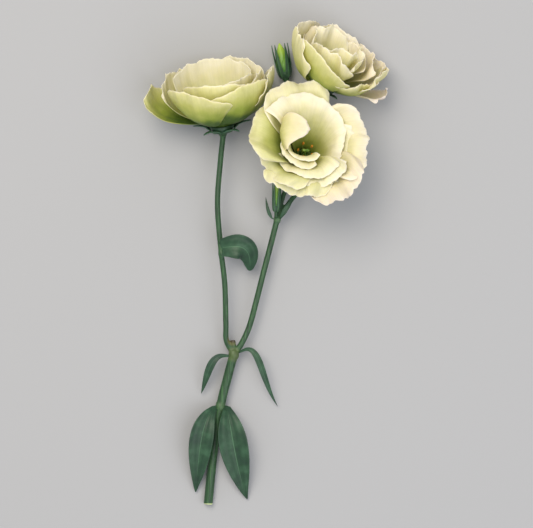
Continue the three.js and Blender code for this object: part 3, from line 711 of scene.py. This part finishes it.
def sepal_ring(midrib, width, base_width, axes, thickness=SEPAL_THICKNESS):
    """The sepals of one flower, evenly round it."""
    turns = [SEPAL_TURN + i * 360 / SEPALS for i in range(SEPALS)]
    return [sepal(turn, midrib, width, base_width, axes, thickness) for turn in turns]


def flank_coloured(cup):
    """Lays a cup on the blades' map where its finish is that of a sepal's flank."""
    layer = cup.data.uv_layers.new(name="blade")
    layer.data.foreach_set("uv", [0.25, 0.5] * len(layer.data))


calyces = []
for name, (tip_r, tip_h) in SEPAL_TIPS.items():
    cup = lathed(CALYX_PROFILE, AXES[name])
    flank_coloured(cup)
    midrib = ((6.3, -0.4), (8.4, 2.2), ((9 + tip_r) / 2, (3 + tip_h) / 2), (tip_r, tip_h))
    lobes = sepal_ring(midrib, SEPAL_WIDTH, SEPAL_BASE_WIDTH, AXES[name])
    calyces.append((name, joined([cup, *lobes], name + "_sepals")))

# sepal: leaf-like green tissue, darker on the keel's flanks, with a thin paler edge
sepal_tissue, tree, output = new_material("sepal_tissue")
uv = add_node(tree, "UVMap", {}, uv_map="blade").outputs["UV"]
cells = add_node(tree, "SeparateXYZ", {"Vector": uv})
centred = add_node(tree, "Math", {0: cells.outputs["X"], 1: 0.5}, operation="SUBTRACT").outputs["Value"]
from_keel = add_node(tree, "Math", {0: centred}, operation="ABSOLUTE").outputs["Value"]
tone = ramp(tree, from_keel, [(0.0, "#3F6A42"), (0.14, "#25452F"), (0.44, "#294B34"), (0.5, "#3F6449")])
mottle = object_pattern(tree, (1.6, 1.6, 1.6))
shade = add_node(tree, "MapRange", {"Value": mottle, "From Min": 0.3, "From Max": 0.7,
                                    "To Min": 0.8, "To Max": 1.15}).outputs["Result"]
tone = add_node(tree, "VectorMath", {0: tone, "Scale": shade}, operation="SCALE").outputs["Vector"]
relief = add_node(tree, "Bump", {"Height": mottle, "Strength": 0.2, "Distance": 0.2 * MM}).outputs["Normal"]
surface = add_node(tree, "BsdfPrincipled", {"Base Color": tone, "Roughness": 0.5, "Normal": relief,
                                            "Subsurface Weight": 0.1, "Subsurface Scale": 0.8 * MM})
tree.links.new(surface.outputs["BSDF"], output.inputs["Surface"])
for name, calyx in calyces:
    finished(calyx, sepal_tissue, "calyx", name + "_calyx")

# ---- pistils and stamens ----
# In each throat a green ovary narrows to a style with a two-lobed stigma, and five pale filaments
# round it carry versatile orange-yellow anthers, whose pollen makes them matt and grainy.

# the height at which the ovary and the filaments stand, just above the tube's floor
FOOT_HEIGHT = TUBE_FLOOR + 0.3
STIGMA_HEIGHT = 19
STIGMA_LOBE_RADIUS = 1
STIGMA_LOBE_AT = 0.9
STIGMA_STRETCH = (1.1, 0.8, 0.7)
STAMENS = 5
# radius and height of a filament at its foot, its bend and its anther
FILAMENT_FOOT = (2.65, FOOT_HEIGHT)
FILAMENT_BEND = (3.1, 9)
FILAMENT_TIP = (4.2, 18)
FILAMENT_RADIUS = 0.38
FILAMENT_TAPER = 0.6
ANTHER_RADIUS = 0.8
ANTHER_STRETCH = (0.8, 0.8, 2.2)
UNEVENNESS = 0.06
PISTIL_PROFILE = [
    (0, FOOT_HEIGHT),
    (1.5, FOOT_HEIGHT),
    (1.75, 3.4),
    (1.85, 6),
    (1.75, 9),
    (1.1, 11.5),
    (0.65, 13),
    (0.55, 16),
    (0.7, STIGMA_HEIGHT - 0.4),
    (0.5, STIGMA_HEIGHT),
    (0, STIGMA_HEIGHT),
]


def on_ring(turn, r, h):
    """The point at a radius and height, at one turn round the flower's axis."""
    return (r * math.cos(turn), r * math.sin(turn), h)


def in_flower(axes, points):
    """Points of a flower's own frame as places on the spray."""
    return [tuple(p) for p in placed(np.array(points, float), axes)]


def drop_shape(centre, radius, stretch, axes):
    """A rounded, slightly uneven piece in a flower's frame, stretched along the flower's own axes."""
    bpy.ops.mesh.primitive_ico_sphere_add(subdivisions=3, radius=radius)
    piece = bpy.context.object
    mesh = piece.data
    points = np.empty(len(mesh.vertices) * 3, np.float32)
    mesh.vertices.foreach_get("co", points)
    points = points.reshape(-1, 3) * stretch
    points *= 1 + UNEVENNESS * np.sin(points[:, :1] * 9 + points[:, 2:] * 7)
    mesh.vertices.foreach_set("co", in_frame(placed(points + centre, axes)).ravel())
    mesh.update()
    return piece


pistils = []
stamen_rings = []
for name in BLOOM_AXES:
    axes = AXES[name]
    column = lathed(PISTIL_PROFILE, axes, 18)
    lobes = []
    for side in (-1, 1):
        lobe_at = (side * STIGMA_LOBE_AT, 0, STIGMA_HEIGHT)
        lobes.append(drop_shape(lobe_at, STIGMA_LOBE_RADIUS, STIGMA_STRETCH, axes))
    pistils.append((name, joined([column, *lobes], name + "_pistil_and_stigma")))
    parts = []
    for i in range(STAMENS):
        turn = 2 * math.pi * (i + 0.5) / STAMENS
        route = [on_ring(turn, *place) for place in (FILAMENT_FOOT, FILAMENT_BEND, FILAMENT_TIP)]
        filament = stalk(in_flower(axes, route), FILAMENT_RADIUS, FILAMENT_RADIUS * FILAMENT_TAPER)
        paint(filament, "pollen", 0)
        tip_r, tip_h = FILAMENT_TIP
        anther = drop_shape(on_ring(turn, tip_r, tip_h + 1), ANTHER_RADIUS, ANTHER_STRETCH, axes)
        paint(anther, "pollen", 1)
        parts += [filament, anther]
    stamen_rings.append((name, joined(parts, name + "_stamen_ring")))

# style tissue: smooth moist green, slightly glossy
style_tissue, tree, output = new_material("style_tissue")
tone = ramp(tree, object_pattern(tree, (1.2, 1.2, 1.2)), [(0.35, "#5E8A34"), (0.65, "#A3BE58")])
surface = add_node(tree, "BsdfPrincipled", {"Base Color": tone, "Roughness": 0.35, "Subsurface Weight": 0.2,
                                            "Subsurface Scale": 1 * MM})
tree.links.new(surface.outputs["BSDF"], output.inputs["Surface"])
for name, pistil in pistils:
    finished(pistil, style_tissue, "pistil", name + "_pistil")

# stamens: matt grainy orange-yellow pollen sacs on smooth pale green filaments
pollen, tree, output = new_material("anther_pollen")
grain = object_pattern(tree, (0.25, 0.25, 0.25), 4.0)
sacs = ramp(tree, grain, [(0.3, "#A8581A"), (0.5, "#D88A22"), (0.7, "#EDB445")])
dusted = add_node(tree, "Attribute", {}, attribute_name="pollen").outputs["Fac"]
tone = add_node(tree, "Mix", {"Factor": dusted, "A": linear("#8FA04E"), "B": sacs},
                data_type="RGBA").outputs["Result"]
relief = add_node(tree, "Bump", {"Height": grain, "Strength": 0.6, "Distance": 0.12 * MM}).outputs["Normal"]
surface = add_node(tree, "BsdfPrincipled", {"Base Color": tone, "Roughness": 0.85, "Normal": relief})
tree.links.new(surface.outputs["BSDF"], output.inputs["Surface"])
for name, ring in stamen_rings:
    finished(ring, pollen, "stamen", name + "_stamens")

# ---- buds ----
# Two closed buds: furled young petals, twisted to a blunt point and still green, held by five
# keeled sepals whose dark tips stand free. The petals are a tube whose section has five winding steps.

# length and radius of the furled petals; tail and spread are the height and radius of the sepals' tips
BUDS = {
    "young_bud": {"length": 17, "radius": 1.5, "tail": 19, "spread": 2.5},
    "green_bud": {"length": 18.5, "radius": 3.7, "tail": 18, "spread": 4.9},
}
FURLS = 5
FURL_TURNS = 0.35
FURL_DEPTH = 0.09
# the Bezier curve that the radius follows from the bud's foot to its point, in shares of its size above
BUD_SWELL = ((0.55,), (1.25,), (1.1,), (0.75,), (0.06,))
BUD_SKIN = 0.12
BUD_GRID = (80, 40)
BUD_SEPAL_THICKNESS = 0.4

furled = []
bud_calyces = []
for name, bud in BUDS.items():
    axes = AXES[name]
    length, radius = bud["length"], bud["radius"]

    def furl(across, along):
        """Overlapping furled petals: a round bud whose section has five soft steps that wind upwards."""
        turn = 2 * math.pi * (across + FURL_TURNS * along)
        step = (across * FURLS) % 1.0
        depth = FURL_DEPTH * (step - 0.5) * np.sin(math.pi * np.clip(along * 1.1, 0, 1))
        out = radius * bezier(BUD_SWELL, along)[..., 0] * (1 + depth)
        return np.stack([out * np.cos(turn), out * np.sin(turn), along * length], axis=-1)

    core = shaped_grid(BUD_GRID, furl, axes, BUD_SKIN)
    core.name = name + "_furled_petals"
    furled.append((name, core))
    cup = lathed([
        (0, -CALYX_DROP),
        (radius * 0.5, -CALYX_DROP),
        (radius * 0.8, -0.7),
        (radius * 0.95, length * 0.05),
        (radius, length * 0.11),
        (radius * 0.8, length * 0.12),
        (radius * 0.7, 0.2),
        (0, 0.1),
    ], axes)
    flank_coloured(cup)
    midrib = ((radius * 0.5, -CALYX_DROP + 0.1), (radius + 0.6, 0), (radius + 0.5, length * 0.3),
              (bud["spread"], bud["tail"] * 0.7), (bud["spread"] * 0.95, bud["tail"]))
    lobes = sepal_ring(midrib, radius * 1.15, radius * 1.4, axes, BUD_SEPAL_THICKNESS)
    bud_calyces.append((name, joined([cup, *lobes], name + "_sepals")))

# bud tissue: fresh yellow-green, darker at the foot, with fine lines that wind with the furl
bud_tissue, tree, output = new_material("bud_tissue")
uv = add_node(tree, "UVMap", {}, uv_map="blade").outputs["UV"]
cells = add_node(tree, "SeparateXYZ", {"Vector": uv})
tone = ramp(tree, cells.outputs["Y"], [(0.1, "#3E7A2C"), (0.55, "#6F9C34"), (0.92, "#A6C63F")])
lines = add_node(tree, "Mapping", {"Vector": uv, "Scale": (90, 3, 1)}).outputs["Vector"]
fine = add_node(tree, "TexNoise", {"Vector": lines, "Scale": 1.0, "Detail": 2.0}).outputs["Fac"]
shade = add_node(tree, "MapRange", {"Value": fine, "From Min": 0.35, "From Max": 0.65,
                                    "To Min": 0.85, "To Max": 1.08}).outputs["Result"]
tone = add_node(tree, "VectorMath", {0: tone, "Scale": shade}, operation="SCALE").outputs["Vector"]
surface = add_node(tree, "BsdfPrincipled", {
    "Base Color": tone, "Roughness": 0.45, "Subsurface Weight": 0.25, "Subsurface Radius": (0.7, 1.0, 0.3),
    "Subsurface Scale": 1.2 * MM})
tree.links.new(surface.outputs["BSDF"], output.inputs["Surface"])
for name, core in furled:
    finished(core, bud_tissue, "bud", name + "_petals")
for name, calyx in bud_calyces:
    finished(calyx, sepal_tissue, "calyx", name + "_calyx")

# ---- leaves and bracts ----
# Opposite leaves clasp the stem at its nodes: thick smooth blades with a grey waxy bloom and three to
# five veins that run from the base to the tip. The small ones under flowers are narrow bracts.

LEAF_THICKNESS = 0.5
# The midrib as Bezier points, the blade's width, where along it is widest, how far its halves fold up in
# radians, and the node that its foot grows from. Base and tip are a leaf's own values in place of
# LEAF_BASE and LEAF_TIP, which set how broad a blade starts and how bluntly it ends.
LEAF_SPECS = {
    "lower_leaf_right": {"midrib": ((-23.4, -80, 7), (-21, -88, 16), (-19, -110, 11), (-12, -131, 1.6)),
                         "width": 17, "widest": 0.5, "fold": 0.35, "base": 0.2, "node": LOWER_NODE},
    "lower_leaf_left": {"midrib": ((-30.6, -80, 7), (-38, -86, 15), (-39, -108, 10), (-41, -127, 1.6)),
                        "width": 14, "widest": 0.48, "fold": 0.35, "base": 0.2, "node": LOWER_NODE},
    "fork_leaf_right": {"midrib": ((-15.2, -47.8, 8), (-4.5, -41, 15), (-4.5, -64, 11), (5.2, -79, 2.4)),
                        "width": 3.8, "widest": 0.5, "fold": 0.2, "node": FORK},
    "fork_leaf_left": {"midrib": ((-23, -50.5, 7.8), (-33, -48, 13), (-34, -62, 8), (-38, -72, 2.4)),
                       "width": 4.4, "widest": 0.5, "fold": 0.2, "node": FORK},
    "branch_leaf": {"midrib": ((-25.3, 10.2, 15.1), (-17, 11.5, 21), (-9, 12.5, 18), (-10.5, -2.5, 9)),
                    "width": 14, "widest": 0.4, "fold": 0.25, "base": 0.7, "tip": 0.5, "node": LEAF_NODE},
    "upper_bract_left": {"midrib": ((2, 26.5, 9.5), (-0.5, 30, 11), (-1, 34, 11), (-1.6, 38.6, 9)),
                         "width": 2, "widest": 0.3, "fold": 0.1, "node": UPPER_NODE},
    "upper_bract_right": {"midrib": ((6.9, 26.9, 11.2), (9, 31, 14), (12, 35, 13), (15.2, 40.5, 10.5)),
                          "width": 2.8, "widest": 0.35, "fold": 0.1, "node": UPPER_NODE},
    "bud_node_bract_left": {"midrib": ((25.6, 66.5, 5), (21, 70, 5), (18, 74, 4.5), (15, 77, 4)),
                            "width": 2.4, "widest": 0.35, "fold": 0.1, "node": BUD_NODE},
    "bud_node_bract_right": {"midrib": ((30.4, 66.5, 5), (34, 71, 5), (36, 76, 4.5), (37, 81, 4)),
                             "width": 2.4, "widest": 0.35, "fold": 0.1, "node": BUD_NODE},
}
# the spray's own axes, for blades that are laid straight on its plan
SPRAY = (np.eye(3), np.zeros(3))
VEIN_RELIEF = 0.16
EDGE_WAVE = 0.35
LEAF_BASE = 0.3
LEAF_TIP = 0.9
ROOTED = 0.05
ROOT_DEPTH = 0.7
NARROWEST = 0.012
BROAD_LEAF = 6
BROAD_LEAF_GRID = (36, 60)
NARROW_LEAF_GRID = (8, 40)


def leaf_points(spec, across, along):
    """A folded blade about its midrib, with sunken veins, a softly waved margin and more rows at the tip."""
    u = across * 2 - 1
    along = np.sin(np.pi / 2 * along)
    free = np.clip((along - ROOTED) / (1 - ROOTED), 0, 1)
    here = bezier(spec["midrib"], free)
    ahead = bezier(spec["midrib"], free + 1e-3) - here
    ahead /= np.linalg.norm(ahead, axis=-1, keepdims=True)
    side = np.cross(ahead, (0, 0, 1))
    side /= np.linalg.norm(side, axis=-1, keepdims=True)
    lift = np.cross(side, ahead)
    widest, base = spec["widest"], spec.get("base", LEAF_BASE)
    grow = base + (1 - base) * np.sin(np.pi / 2 * np.clip(along / widest, 0, 1)) ** 1.5
    # at the very tip the cosine may round to just under 0, which has no such power
    taper = np.cos(np.pi / 2 * np.clip((along - widest) / (1 - widest), 0, 1))
    shrink = np.maximum(taper, 0) ** spec.get("tip", LEAF_TIP)
    half = spec["width"] / 2 * np.maximum(np.where(along < widest, grow, shrink), NARROWEST)
    fold = spec["fold"]
    rise = np.abs(u) * half * math.sin(fold)
    if spec["width"] > BROAD_LEAF:
        rise += VEIN_RELIEF * (0.5 * np.cos(4 * math.pi * u) - np.exp(-(u / 0.05) ** 2))
        rise += EDGE_WAVE * np.abs(u) ** 3 * np.sin(9 * along + 4 * u)
    rooted = ROOT_DEPTH * (1 - eased(0, ROOTED, along))
    here = here + (np.array(spec["node"]) - here) * rooted[..., None]
    return here + side * (u * half * math.cos(fold))[..., None] + lift * rise[..., None]


leaves = []
for name, spec in LEAF_SPECS.items():
    cells = BROAD_LEAF_GRID if spec["width"] > BROAD_LEAF else NARROW_LEAF_GRID
    blade = shaped_grid(cells, lambda u, v: leaf_points(spec, u, v), SPRAY, LEAF_THICKNESS)
    blade.name = name + "_blade"
    leaves.append((name, blade))

# glaucous leaf: dark blue-green under a grey wax, which dulls the gloss; veins are sunken and paler
glaucous_leaf, tree, output = new_material("glaucous_leaf")
uv = add_node(tree, "UVMap", {}, uv_map="blade").outputs["UV"]
cells = add_node(tree, "SeparateXYZ", {"Vector": uv})
centred = add_node(tree, "Math", {0: cells.outputs["X"], 1: 0.5}, operation="SUBTRACT").outputs["Value"]
from_rib = add_node(tree, "Math", {0: centred}, operation="ABSOLUTE").outputs["Value"]
wax = object_pattern(tree, (6, 6, 6), 5.0)
tone = ramp(tree, wax, [(0.3, "#1B3528"), (0.5, "#23432E"), (0.72, "#34573F")])
rib = ramp(tree, from_rib, [(0.0, "#FFFFFF"), (0.02, "#8F8F8F"), (0.05, "#000000")])
tone = add_node(tree, "Mix", {"Factor": rib, "A": tone, "B": linear("#4A6F52")},
                data_type="RGBA").outputs["Result"]
fibres = add_node(tree, "Mapping", {"Vector": uv, "Scale": (60, 5, 1)}).outputs["Vector"]
grain = add_node(tree, "TexNoise", {"Vector": fibres, "Scale": 1.0, "Detail": 2.0}).outputs["Fac"]
relief = add_node(tree, "Bump", {"Height": grain, "Strength": 0.25, "Distance": 0.2 * MM}).outputs["Normal"]
surface = add_node(tree, "BsdfPrincipled", {
    "Base Color": tone, "Roughness": 0.48, "Normal": relief, "Specular IOR Level": 0.4, "Sheen Weight": 0.15,
    "Sheen Roughness": 0.5, "Sheen Tint": linear("#A8C0B0")})
tree.links.new(surface.outputs["BSDF"], output.inputs["Surface"])
for name, blade in leaves:
    finished(blade, glaucous_leaf, "leaf", name)

# ---- studio ----
# A plain pale table, a large soft light from the upper left, a weaker fill from the lower right, and a
# camera that looks straight down on the spray. The spray fills the picture's height.

# metres, as the frame; the picture's shape is its width over its height
TABLE_SIZE = 6
FRAME_HEIGHT = 0.292
PICTURE_SHAPE = 533 / 528
CAMERA_DISTANCE = 1.6

bpy.ops.mesh.primitive_plane_add(size=TABLE_SIZE)
floor = bpy.context.object
floor.name = "table_top"
matt_paper, tree, output = new_material("matt_grey_paper")
surface = add_node(tree, "BsdfPrincipled", {"Base Color": linear("#A4A5A8"), "Roughness": 0.9})
tree.links.new(surface.outputs["BSDF"], output.inputs["Surface"])
floor.data.materials.append(matt_paper)


def soft_light(name, place, size, power, colour, aim=(0, 0.04, 0)):
    """A square softbox at a place, its size and distances in metres, turned to the spray."""
    bpy.ops.object.light_add(type="AREA", location=place)
    light = bpy.context.object
    light.name = name
    light.data.size = size
    light.data.energy = power
    light.data.color = linear(colour)[:3]
    light.rotation_euler = (Vector(aim) - Vector(place)).to_track_quat("-Z", "Y").to_euler()


soft_light("key_softbox", (-0.35, 0.5, 1.3), 0.9, 16.5, "#FFF6E6")
soft_light("fill_softbox", (0.6, -0.5, 1.2), 1.2, 9, "#FAFBFF")
world = bpy.data.worlds.new("studio")
bpy.context.scene.world = world
world.use_nodes = True
world.node_tree.nodes["Background"].inputs["Color"].default_value = linear("#E8EAED")
world.node_tree.nodes["Background"].inputs["Strength"].default_value = 0.7

bpy.ops.object.camera_add(location=(0, 0, CAMERA_DISTANCE), rotation=(0, 0, 0))
camera = bpy.context.object
camera.data.sensor_width = 36
to_the_spray = CAMERA_DISTANCE - cad_high[2] / 2
camera.data.lens = camera.data.sensor_width * to_the_spray / (FRAME_HEIGHT * PICTURE_SHAPE)
bpy.context.scene.camera = camera
bpy.context.scene.view_settings.view_transform = "Standard"
